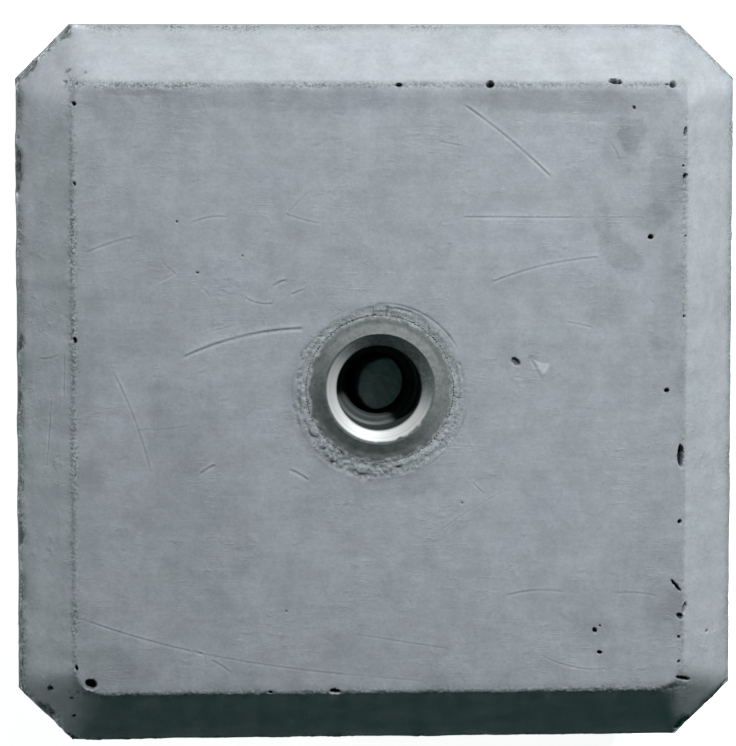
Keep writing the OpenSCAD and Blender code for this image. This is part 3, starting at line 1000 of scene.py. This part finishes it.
def wear_of_socket(r, z, a):
    """Thread ridges, a mound of slurry on the floor, and the small dents of the collar.

    A ridge is a triangle wave of the height in pitches less the angle in turns. The mound and the
    dents are noise of the plan, and crumbs of paste are the part of it above a level.
    """
    turn = (z / PITCH - a / (2 * math.pi)) % 1.0
    ridge = 1.0 - np.abs(2.0 * turn - 1.0)
    in_thread = (smooth_step(THREAD_Z + 0.05, THREAD_Z - 0.8, z) * (np.abs(r - THREAD_R) < 0.01)
                 * smooth_step(THREAD_END_Z - 0.1, THREAD_END_Z + 0.4, z))
    r = r + in_thread * THREAD_DEEP * (ridge - 0.12).clip(0)
    plan = plan3((r * np.cos(a)).ravel(), (r * np.sin(a)).ravel(), z.ravel())
    off_middle = np.hypot(plan[:, 0] - DUST_AT[0], plan[:, 1] - DUST_AT[1])
    mound = smooth_step(9.3, 7.4, off_middle + 0.5 * noise(plan, 3.0, 101))
    mound = mound * DUST_HEIGHT + 0.25 * noise(plan, 1.6, 102) + 0.12 * noise(plan, 0.7, 103)
    on_floor = (z <= THREAD_END_Z + 0.01) & (z > SLEEVE_END_Z + 2) & (r < THREAD_R + 0.01)
    z = z + np.where(on_floor, smooth_step(THREAD_R, THREAD_R - 0.9, r) * mound.reshape(z.shape), 0.0)
    on_collar = (r > CREST_R + 0.3) & (z > RIM_Z - 0.4)
    dents = 0.035 * noise(plan, 4.0, 105) + 0.02 * noise(plan, 1.2, 106)
    crumbs = 0.35 * (noise(plan, 1.5, 107) - 0.1).clip(0)
    left = smooth_step(0.1, 0.8, -np.cos(a - math.radians(15)))
    near_rim = smooth_step(COLLAR_R - 2.6, COLLAR_R - 0.3, r)
    rim_crumbs = (0.52 + crumbs.reshape(z.shape) * (0.4 + 0.6 * left)) * near_rim
    z = z + np.where(on_collar, dents.reshape(z.shape) + rim_crumbs, 0.0)
    return r, z + TOP


points, quads, fans = closed_turning(profile, AROUND, wear_of_socket)
low_z = points[:, 2] - TOP
point_r = np.hypot(points[:, 0], points[:, 1])
point_angle = np.arctan2(points[:, 1], points[:, 0])
ragged = 0.4 * noise(points, 1.1, 108) * smooth_step(0.3, 1.0, np.cos(point_angle + math.radians(45)))
film = smooth_step(CREST_R - 0.65, CREST_R - 0.15, point_r + ragged) * (low_z > RIM_Z - 0.7)
crumb = smooth_step(COLLAR_R - 1.0, COLLAR_R - 0.3, point_r + 0.7 * noise(points, 1.8, 109)) * film
from_dust = np.hypot(points[:, 0] - DUST_AT[0], points[:, 1] - DUST_AT[1])
from_dust = from_dust + 0.5 * noise(points, 2.2, 110)
dust = smooth_step(8.7, 7.8, from_dust) * (low_z < THREAD_END_Z + DUST_HEIGHT + 1)
dust = dust * (point_r < THREAD_R - 0.3) * (low_z > THREAD_END_Z - 0.5)
inside = smooth_step(MOUTH_Z + 0.2, MOUTH_Z - 0.3, low_z) * (point_r < SLEEVE_R - 1)
inside *= 0.975 + 0.025 * smooth_step(LEDGE_Z + 0.2, LEDGE_Z - 0.3, low_z)
# a painted highlight on the step's edge: less of the dark bore colour there, and a little less rough
lip_glint = np.exp(-((low_z - LEDGE_Z - 0.35) / 0.4) ** 2) * (point_r < PILOT_R + 0.2)
inside *= 1.0 - 0.12 * lip_glint
# grime and painted shade on the countersink's back right, which faces away from the lamp
grime_and_shade = smooth_step(-0.12, 0.62, np.sin(point_angle + 0.5)) * (point_r < CREST_R - 0.3)
grime_and_shade = grime_and_shade * (low_z > MOUTH_Z - 1)
socket = mesh_object(
    "turned_socket", points, quads.tolist() + fans.tolist(),
    {"film": film, "crumb": crumb, "dust": dust, "inside": inside, "grime_and_shade": grime_and_shade})
print("turned socket:", len(socket.data.polygons), "faces")

# %% [markdown]
# ## Materials
# Scans of concrete and steel could be wrapped around the pieces, but they would stretch and repeat.
# Noise that reads the place in space does neither. A small set of helpers keeps each material
# short: one adds a node and fills its inputs with values or links, and the others wrap the nodes
# that are used again and again.

# %% Node helpers
class Nodes:
    """Adds nodes to a new material and links them; inputs may be numbers, colours or sockets."""

    def __init__(self, name):
        """Starts a material of the given name."""
        self.material = bpy.data.materials.new(name)
        self.material.use_nodes = True
        self.tree = self.material.node_tree
        self.shader = self.tree.nodes["Principled BSDF"]
        self.place = self.add("ShaderNodeTexCoord").outputs["Object"]

    def add(self, kind, settings=None, **inputs):
        """A node of the given kind, its settings made and its named inputs filled."""
        node = self.tree.nodes.new(kind)
        for key, value in (settings or {}).items():
            setattr(node, key, value)
        for key, value in inputs.items():
            self.fill(node.inputs[key.replace("_", " ")], value)
        return node

    def fill(self, target, value):
        """Links a socket to an input, or sets the input to a value."""
        if isinstance(value, bpy.types.NodeSocket):
            self.tree.links.new(value, target)
        else:
            target.default_value = value

    def scaled(self, factors):
        """Object coordinates times a factor on each axis: a small one draws the pattern out."""
        return self.laid(0.0, factors)

    def laid(self, degrees, factors, start=0.0):
        """Object coordinates times a factor on each axis, then turned about Z, then moved."""
        node = self.add("ShaderNodeMapping", {"vector_type": "POINT"}, Vector=self.place, Scale=factors,
                        Rotation=(0, 0, math.radians(degrees)), Location=(start, start, 0))
        return node.outputs[0]

    def noise(self, size_mm, detail=2.0, roughness=0.5, where=None):
        """Noise from 0 to 1 with features about size_mm across."""
        node = self.add("ShaderNodeTexNoise", Vector=where or self.place, Scale=1.0 / (size_mm * MM),
                        Detail=detail, Roughness=roughness)
        return node.outputs["Fac"]

    def spread(self, value, low, high, new_low=0.0, new_high=1.0):
        """Maps low to new_low and high to new_high, held at both ends."""
        node = self.add("ShaderNodeMapRange", {"interpolation_type": "SMOOTHSTEP"}, Value=value)
        ends = {"From Min": low, "From Max": high, "To Min": new_low, "To Max": new_high}
        for key, number in ends.items():
            self.fill(node.inputs[key], number)
        return node.outputs["Result"]

    def math(self, operation, a, b=0.0):
        """One sum, product or other operation on two numbers."""
        node = self.add("ShaderNodeMath", {"operation": operation})
        self.fill(node.inputs[0], a)
        self.fill(node.inputs[1], b)
        return node.outputs[0]

    def times(self, a, b):
        """The product of two numbers."""
        return self.math("MULTIPLY", a, b)

    def plus(self, a, b):
        """The sum of two numbers."""
        return self.math("ADD", a, b)

    def mix(self, share, a, b, blend="MIX"):
        """Colour a where share is 0 and b where it is 1."""
        node = self.add("ShaderNodeMix", {"data_type": "RGBA", "blend_type": blend})
        for socket, value in zip((node.inputs[0], node.inputs[6], node.inputs[7]), (share, a, b)):
            self.fill(socket, value if not isinstance(value, tuple) else (*value, 1.0))
        return node.outputs[2]

    def number(self, name):
        """A number that the mesh carries at each point."""
        return self.add("ShaderNodeAttribute", {"attribute_name": name}).outputs["Fac"]

    def bump(self, height, depth_mm, strength=1.0, normal=None):
        """A fine relief of the shading only, laid on top of the given one."""
        node = self.add("ShaderNodeBump", Height=height, Strength=strength, Distance=depth_mm * MM)
        if normal is not None:
            self.fill(node.inputs["Normal"], normal)
        return node.outputs["Normal"]

# %% [markdown]
# Cast concrete is never one grey. Cement paste dries bluish where it was dense against the steel and
# greener or browner where water stood, and the patches run from a thumb's width to a hand's. The
# bevels lay against clean strips and are lighter, and painted light adds to that. The face is painted
# lighter towards the right, the lamp's side. Sand shows in the seams, and shade is painted into pores,
# holes, chips and grooves. One noise for everything would look like cloud, so each of these is a layer
# of its own size, and the largest stains are placed one by one.

# %% Colours and stains of the concrete
PASTE, DENSE_PASTE = (0.303, 0.334, 0.358), (0.318, 0.339, 0.380)
SAND_SHADE, SAND_LIGHT = (0.09, 0.115, 0.11), (0.47, 0.51, 0.50)
# pores in the sandy seams, and holes, chips and grooves, get painted shade in these colours
PORE_SHADE_COLOR = (0.05, 0.065, 0.062)
HOLLOW_SHADE_COLOR = (0.012, 0.020, 0.019)
STAIN_DEEP = 0.012      # half-height of a stain, in m
# x, y, half-length, half-width in mm, turn in degrees, share of light lost
STAINS = [
    (69.0, 70.0, 4.2, 5.0, 0, 0.22), (66.5, 66.0, 5.5, 6.5, 20, 0.09), (61.0, 46.5, 2.6, 7.0, 10, 0.12),
    (66.0, 37.5, 7.0, 4.2, -35, 0.15), (74.0, 47.0, 6.5, 4.0, 0, 0.14), (78.5, 56.0, 5.0, 13.0, 0, 0.15),
    (61.5, 23.0, 5.8, 7.0, 20, 0.09), (57.5, -66.0, 6.0, 6.5, 0, 0.08), (78.0, -60.0, 6.0, 7.0, 0, 0.10),
    (-72.0, -76.0, 11.0, 5.5, -10, 0.14), (-74.0, 77.0, 9.0, 5.0, -35, 0.12),
    (-20.0, 79.0, 40.0, 3.0, 0, 0.09), (50.0, 79.0, 28.0, 3.4, 0, 0.15), (-26.0, 38.0, 5.0, 13.0, 5, 0.06),
    (2.0, -26.5, 12.0, 4.0, 0, 0.08), (5.0, -70.0, 22.0, 4.0, -6, 0.06), (78.0, 16.0, 4.0, 10.0, 0, 0.08),
    (-52.0, -30.0, 16.0, 30.0, 10, 0.08), (-68.0, 81.8, 9.0, 1.3, 0, 0.20),
]


def stains_and_painted_light(n):
    """How light the concrete is: painted light growing towards the right, times 1 less each stain's share
    inside a wobbly ellipse, times noise.
    """
    parts = n.add("ShaderNodeSeparateXYZ", Vector=n.place)
    wobble = n.times(n.math("SUBTRACT", n.noise(7, 6, 0.72), 0.5), 1.7)
    # painted light: the face is painted lighter from left to right, towards the lamp's side
    light = n.spread(parts.outputs["X"], -HALF * MM, HALF * MM, 0.95, 1.065)
    for x, y, long, wide, turned, share in STAINS:
        spot = n.add("ShaderNodeMapping", {"vector_type": "TEXTURE"}, Vector=n.place,
                     Location=(x * MM, y * MM, TOP * MM), Rotation=(0, 0, math.radians(turned)),
                     Scale=(long * MM, wide * MM, STAIN_DEEP)).outputs[0]
        away = n.add("ShaderNodeVectorMath", {"operation": "LENGTH"}, Vector=spot).outputs["Value"]
        edge = n.spread(n.plus(away, wobble), 0.72, 1.20, 1.0 - share, 1.0)
        light = n.times(light, edge)
    mottle = n.spread(n.noise(9, 9, 0.78), 0.27, 0.73, 0.87, 1.12)
    streaks = n.spread(n.noise(2.4, 5, 0.65, n.scaled((0.07, 1.0, 1.0))), 0.3, 0.7, 0.975, 1.025)
    drips = n.spread(n.noise(3.6, 5, 0.65, n.scaled((1.0, 0.09, 1.0))), 0.3, 0.7, 0.98, 1.02)
    speck = n.spread(n.noise(0.8, 3, 0.7), 0.25, 0.75, 0.94, 1.06)
    for layer in (mottle, streaks, drips, speck):
        light = n.times(light, layer)
    return light


print(len(STAINS), "stains")

# %% [markdown]
# Hairlines are the finest marks, left where grit was dragged over the face. They could be listed one
# by one, as the scratches are, but there are hundreds. A drawn-out noise crosses its middle value
# along thin, nearly straight lines, so the places close to that value are the hairlines.

# %% Hairlines of the concrete
# size in mm, turn in degrees, where the noise starts
HAIR_LAYS = ((9.0, 3.0, 0.3), (7.0, -16.0, 0.7), (9.0, 84.0, 1.1), (8.0, 31.0, 1.7))


def hairlines(n, patchy):
    """1 where a drawn-out noise is within a little of 0.5, summed over four ways it lies, in patches."""
    hairs = 0.0
    for size, turned, start in HAIR_LAYS:
        lying = n.laid(turned, (0.07, 1.0, 1.0), start)
        near = n.math("ABSOLUTE", n.math("SUBTRACT", n.noise(size, 1, 0.4, lying), 0.5))
        hairs = n.plus(hairs, n.spread(near, 0.0, 0.009, 1.0, 0.0))
    return n.times(hairs, n.times(patchy, n.spread(n.noise(4, 2, 0.5), 0.45, 0.6)))


print("hairlines lie", len(HAIR_LAYS), "ways")

# %% [markdown]
# Sand and painted shade in the hollows are colours laid over the paste, each by the number that the mesh
# carries for it.
# The very fine unevenness of paste is too small for the mesh, so that alone is a bump: grain, drag
# marks, the hairlines, and soft dabs that lie two ways.

# %% Sand, dirt and fine bumps
def sand_and_painted_shade(n, color, grit, hollow_shade):
    """The colour with sand mixed in by grit, painted shade of pores by grit where a noise is high, and the
    painted shade of hollows.
    """
    sand = n.spread(n.noise(0.75, 2, 0.6), 0.35, 0.65)
    color = n.mix(n.times(grit, 0.55), color, n.mix(sand, SAND_SHADE, SAND_LIGHT))
    pore = n.spread(n.noise(0.55, 1, 0.5), 0.57, 0.65)
    color = n.mix(n.times(pore, n.times(grit, 0.8)), color, PORE_SHADE_COLOR)
    return n.mix(hollow_shade, color, HOLLOW_SHADE_COLOR)


def fine_bumps(n, hairs, patchy):
    """The shading's relief: each bump is laid on the one before it."""
    surface = n.bump(n.noise(0.9, 4, 0.65), 0.07, 0.6)
    surface = n.bump(n.noise(3.5, 4, 0.6, n.scaled((0.35, 1.4, 1.0))), 0.12, 0.6, surface)
    surface = n.bump(hairs, 0.05, 0.4, surface)
    for stretch_x, stretch_y, turned in ((0.45, 1.2, 12.0), (1.1, 0.6, -28.0)):
        dab = n.spread(n.noise(2.4, 4, 0.62, n.laid(turned, (stretch_x, stretch_y, 1.0))), 0.50, 0.74)
        surface = n.bump(n.times(dab, patchy), 0.10, 0.6, surface)
    return surface


print("sand from", SAND_SHADE, "to", SAND_LIGHT)

# %% [markdown]
# The layers now go together in this order: paste, then how light it is, painted light included, then
# the sand, and the painted shade of the hollows last. Mixed the other way round, the sand would show
# through the shade.

# %% Put the concrete together
def concrete():
    """Paste in two greys by patches, times the lightness with its painted light; the bevels a little
    warmer; then sand and painted shade.
    """
    n = Nodes("cast_concrete")
    grit, hollow_shade, pale, flake = (n.number(k) for k in ("grit", "hollow_shade", "pale", "flake"))
    paste = n.mix(n.spread(n.noise(24, 7, 0.7), 0.34, 0.66), PASTE, DENSE_PASTE)
    patchy = n.spread(n.noise(13, 3, 0.6), 0.47, 0.60)
    hairs = hairlines(n, patchy)
    light = n.times(stains_and_painted_light(n), n.plus(1.0, n.times(hairs, 0.035)))
    # pale holds the bevels' paler paste with painted light, the left arris's painted light and the mortar
    # ring's painted shade
    light = n.times(light, n.plus(1.0, pale))
    light = n.times(light, n.plus(1.0, n.times(flake, 0.30)))
    bevelled = n.spread(pale, 0.03, 0.15)       # 1 on the bevels, where paler paste and painted light lie
    shade = n.add("ShaderNodeCombineColor", Red=light,
                  Green=n.times(light, n.spread(bevelled, 0.0, 1.0, 1.0, 0.988)),
                  Blue=n.times(light, n.spread(bevelled, 0.0, 1.0, 1.0, 0.972)))
    color = n.mix(1.0, paste, shade.outputs[0], "MULTIPLY")
    n.fill(n.shader.inputs["Base Color"], sand_and_painted_shade(n, color, grit, hollow_shade))
    n.fill(n.shader.inputs["Roughness"], n.spread(n.noise(5, 3, 0.6), 0.3, 0.7, 0.72, 0.90))
    n.shader.inputs["Specular IOR Level"].default_value = 0.16
    n.fill(n.shader.inputs["Normal"], fine_bumps(n, hairs, patchy))
    return n.material


block.data.materials.append(concrete())
print("nodes in the concrete:", len(block.data.materials[0].node_tree.nodes))

# %% [markdown]
# The socket is plain steel. The countersink was turned last and is bright, with fine rings from the
# tool. Cement paste left a grey film on the collar, painted darker as shade on the side away from the
# lamp. The countersink's back right carries grime and painted shade, the bore is dark with oil and
# dirt, with a painted highlight on its step, and the dust in the bottom is painted pale, partly as
# painted light. One material holds all of these, because they run into one another: numbers on the
# mesh say how much of each there is at a place.

# %% Colours of the steel and its film
LIT_SIDE = math.radians(60)       # the lamp's side: the film is pale towards it and painted dark, as shade, on the other
STEEL_SHADE, STEEL_LIGHT = (0.56, 0.58, 0.58), (0.74, 0.75, 0.75)
FILM_SHADE, FILM_LIGHT = (0.150, 0.172, 0.170), (0.190, 0.213, 0.211)
SHADED_FILM_DARK, SHADED_FILM_LIGHT = (0.048, 0.060, 0.058), (0.076, 0.090, 0.088)
# the grime colour also stands for painted shade
GRIME_AND_SHADE_COLOR, BORE_COLOR = (0.15, 0.185, 0.18), (0.022, 0.034, 0.032)
CRUMB_SHADE, CRUMB_LIGHT = (0.15, 0.17, 0.17), (0.30, 0.33, 0.34)
# the dust's near-white colour is partly its own and partly painted light, for a floor that the lamp hardly
# reaches
LIT_DUST_DARK, LIT_DUST_LIGHT = (0.72, 0.79, 0.78), (0.92, 0.93, 0.92)


def film_with_painted_shade(n, flat, radius):
    """Colour of the collar: film towards the lamp's side, painted shade on the other, times a smudge of
    noise.
    """
    lean = n.add("ShaderNodeVectorMath", {"operation": "DOT_PRODUCT"}, Vector=flat)
    lean.inputs[1].default_value = (math.cos(LIT_SIDE), math.sin(LIT_SIDE), 0)
    toward = n.math("DIVIDE", lean.outputs["Value"], radius)
    blotch = n.spread(n.noise(2.5, 4, 0.65), 0.3, 0.7)
    dull = n.mix(blotch, FILM_SHADE, FILM_LIGHT)
    shaded_film = n.mix(blotch, SHADED_FILM_DARK, SHADED_FILM_LIGHT)
    # painted shade: the film darkens on the side away from the lamp
    dull = n.mix(n.spread(toward, -0.85, 0.55), shaded_film, dull)
    smudge = n.spread(n.noise(0.9, 4, 0.7), 0.3, 0.7, 0.80, 1.18)
    grey = n.add("ShaderNodeCombineColor", Red=smudge, Green=smudge, Blue=smudge).outputs[0]
    return n.mix(1.0, dull, grey, "MULTIPLY")


print("clean side of the collar, degrees:", round(math.degrees(LIT_SIDE)))

# %% [markdown]
# What lies on the steel is mixed over it one layer at a time. The rings come from noise that reads
# only the radius and the height, so it is the same all the way round, as tool marks are.

# %% Put the steel together
def steel():
    """Turned rings of two greys, and over them film with painted shade, grime with painted shade, bore dirt
    with a painted highlight on the step, crumbs, and dust with painted light, in that order.

    Metallic is 0.45 less what film, crumbs and dust cover, and a little more inside the bore.
    """
    n = Nodes("socket_steel")
    film, crumb, dust, inside, grime_and_shade = (n.number(k) for k in ("film", "crumb", "dust", "inside", "grime_and_shade"))
    parts = n.add("ShaderNodeSeparateXYZ", Vector=n.place)
    flat = n.add("ShaderNodeCombineXYZ", X=parts.outputs["X"], Y=parts.outputs["Y"]).outputs[0]
    radius = n.add("ShaderNodeVectorMath", {"operation": "LENGTH"}, Vector=flat).outputs["Value"]
    section = n.add("ShaderNodeCombineXYZ", X=radius, Y=n.times(parts.outputs["Z"], 0.7))
    rings = n.noise(0.35, 3, 0.6, section.outputs[0])
    color = n.mix(n.spread(rings, 0.3, 0.7), STEEL_SHADE, STEEL_LIGHT)
    color = n.mix(film, color, film_with_painted_shade(n, flat, radius))
    # grime and painted shade, mottled by noise
    grimy_and_shaded = n.times(grime_and_shade, n.spread(n.noise(1.1, 3, 0.65), 0.3, 0.6, 0.70, 0.95))
    color = n.mix(grimy_and_shaded, color, GRIME_AND_SHADE_COLOR)
    color = n.mix(inside, color, BORE_COLOR)
    paste = n.mix(n.spread(n.noise(1.0, 2, 0.6), 0.35, 0.65), CRUMB_SHADE, CRUMB_LIGHT)
    color = n.mix(crumb, color, paste)
    # the dust's pale colour is partly painted light
    dust_and_painted_light = n.mix(n.spread(n.noise(3.0, 4, 0.65), 0.38, 0.62), LIT_DUST_DARK, LIT_DUST_LIGHT)
    n.fill(n.shader.inputs["Base Color"], n.mix(dust, color, dust_and_painted_light))
    metal = n.math("SUBTRACT", n.math("SUBTRACT", 0.45, n.times(film, 0.4)), crumb)
    metal = n.plus(metal, n.times(inside, 0.1))
    n.fill(n.shader.inputs["Metallic"], n.math("MAXIMUM", n.math("SUBTRACT", metal, dust), 0.0))
    rough = n.plus(n.spread(rings, 0.3, 0.7, 0.50, 0.58), n.times(film, 0.05))
    rough = n.plus(rough, n.times(dust, 0.35))
    rough = n.plus(rough, n.spread(inside, 0.84, 0.96, 0.0, 0.20))
    n.fill(n.shader.inputs["Roughness"], rough)
    n.fill(n.shader.inputs["Normal"], n.bump(rings, 0.02, 0.7, n.bump(n.noise(1.2, 3, 0.6), 0.03, 0.5)))
    return n.material


socket.data.materials.append(steel())
print("nodes in the steel:", len(socket.data.materials[0].node_tree.nodes))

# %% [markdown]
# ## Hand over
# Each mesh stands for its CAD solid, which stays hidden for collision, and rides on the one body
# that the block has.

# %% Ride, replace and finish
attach(block, "root")
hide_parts("concrete_block")
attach(socket, "root")
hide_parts("steel_socket")
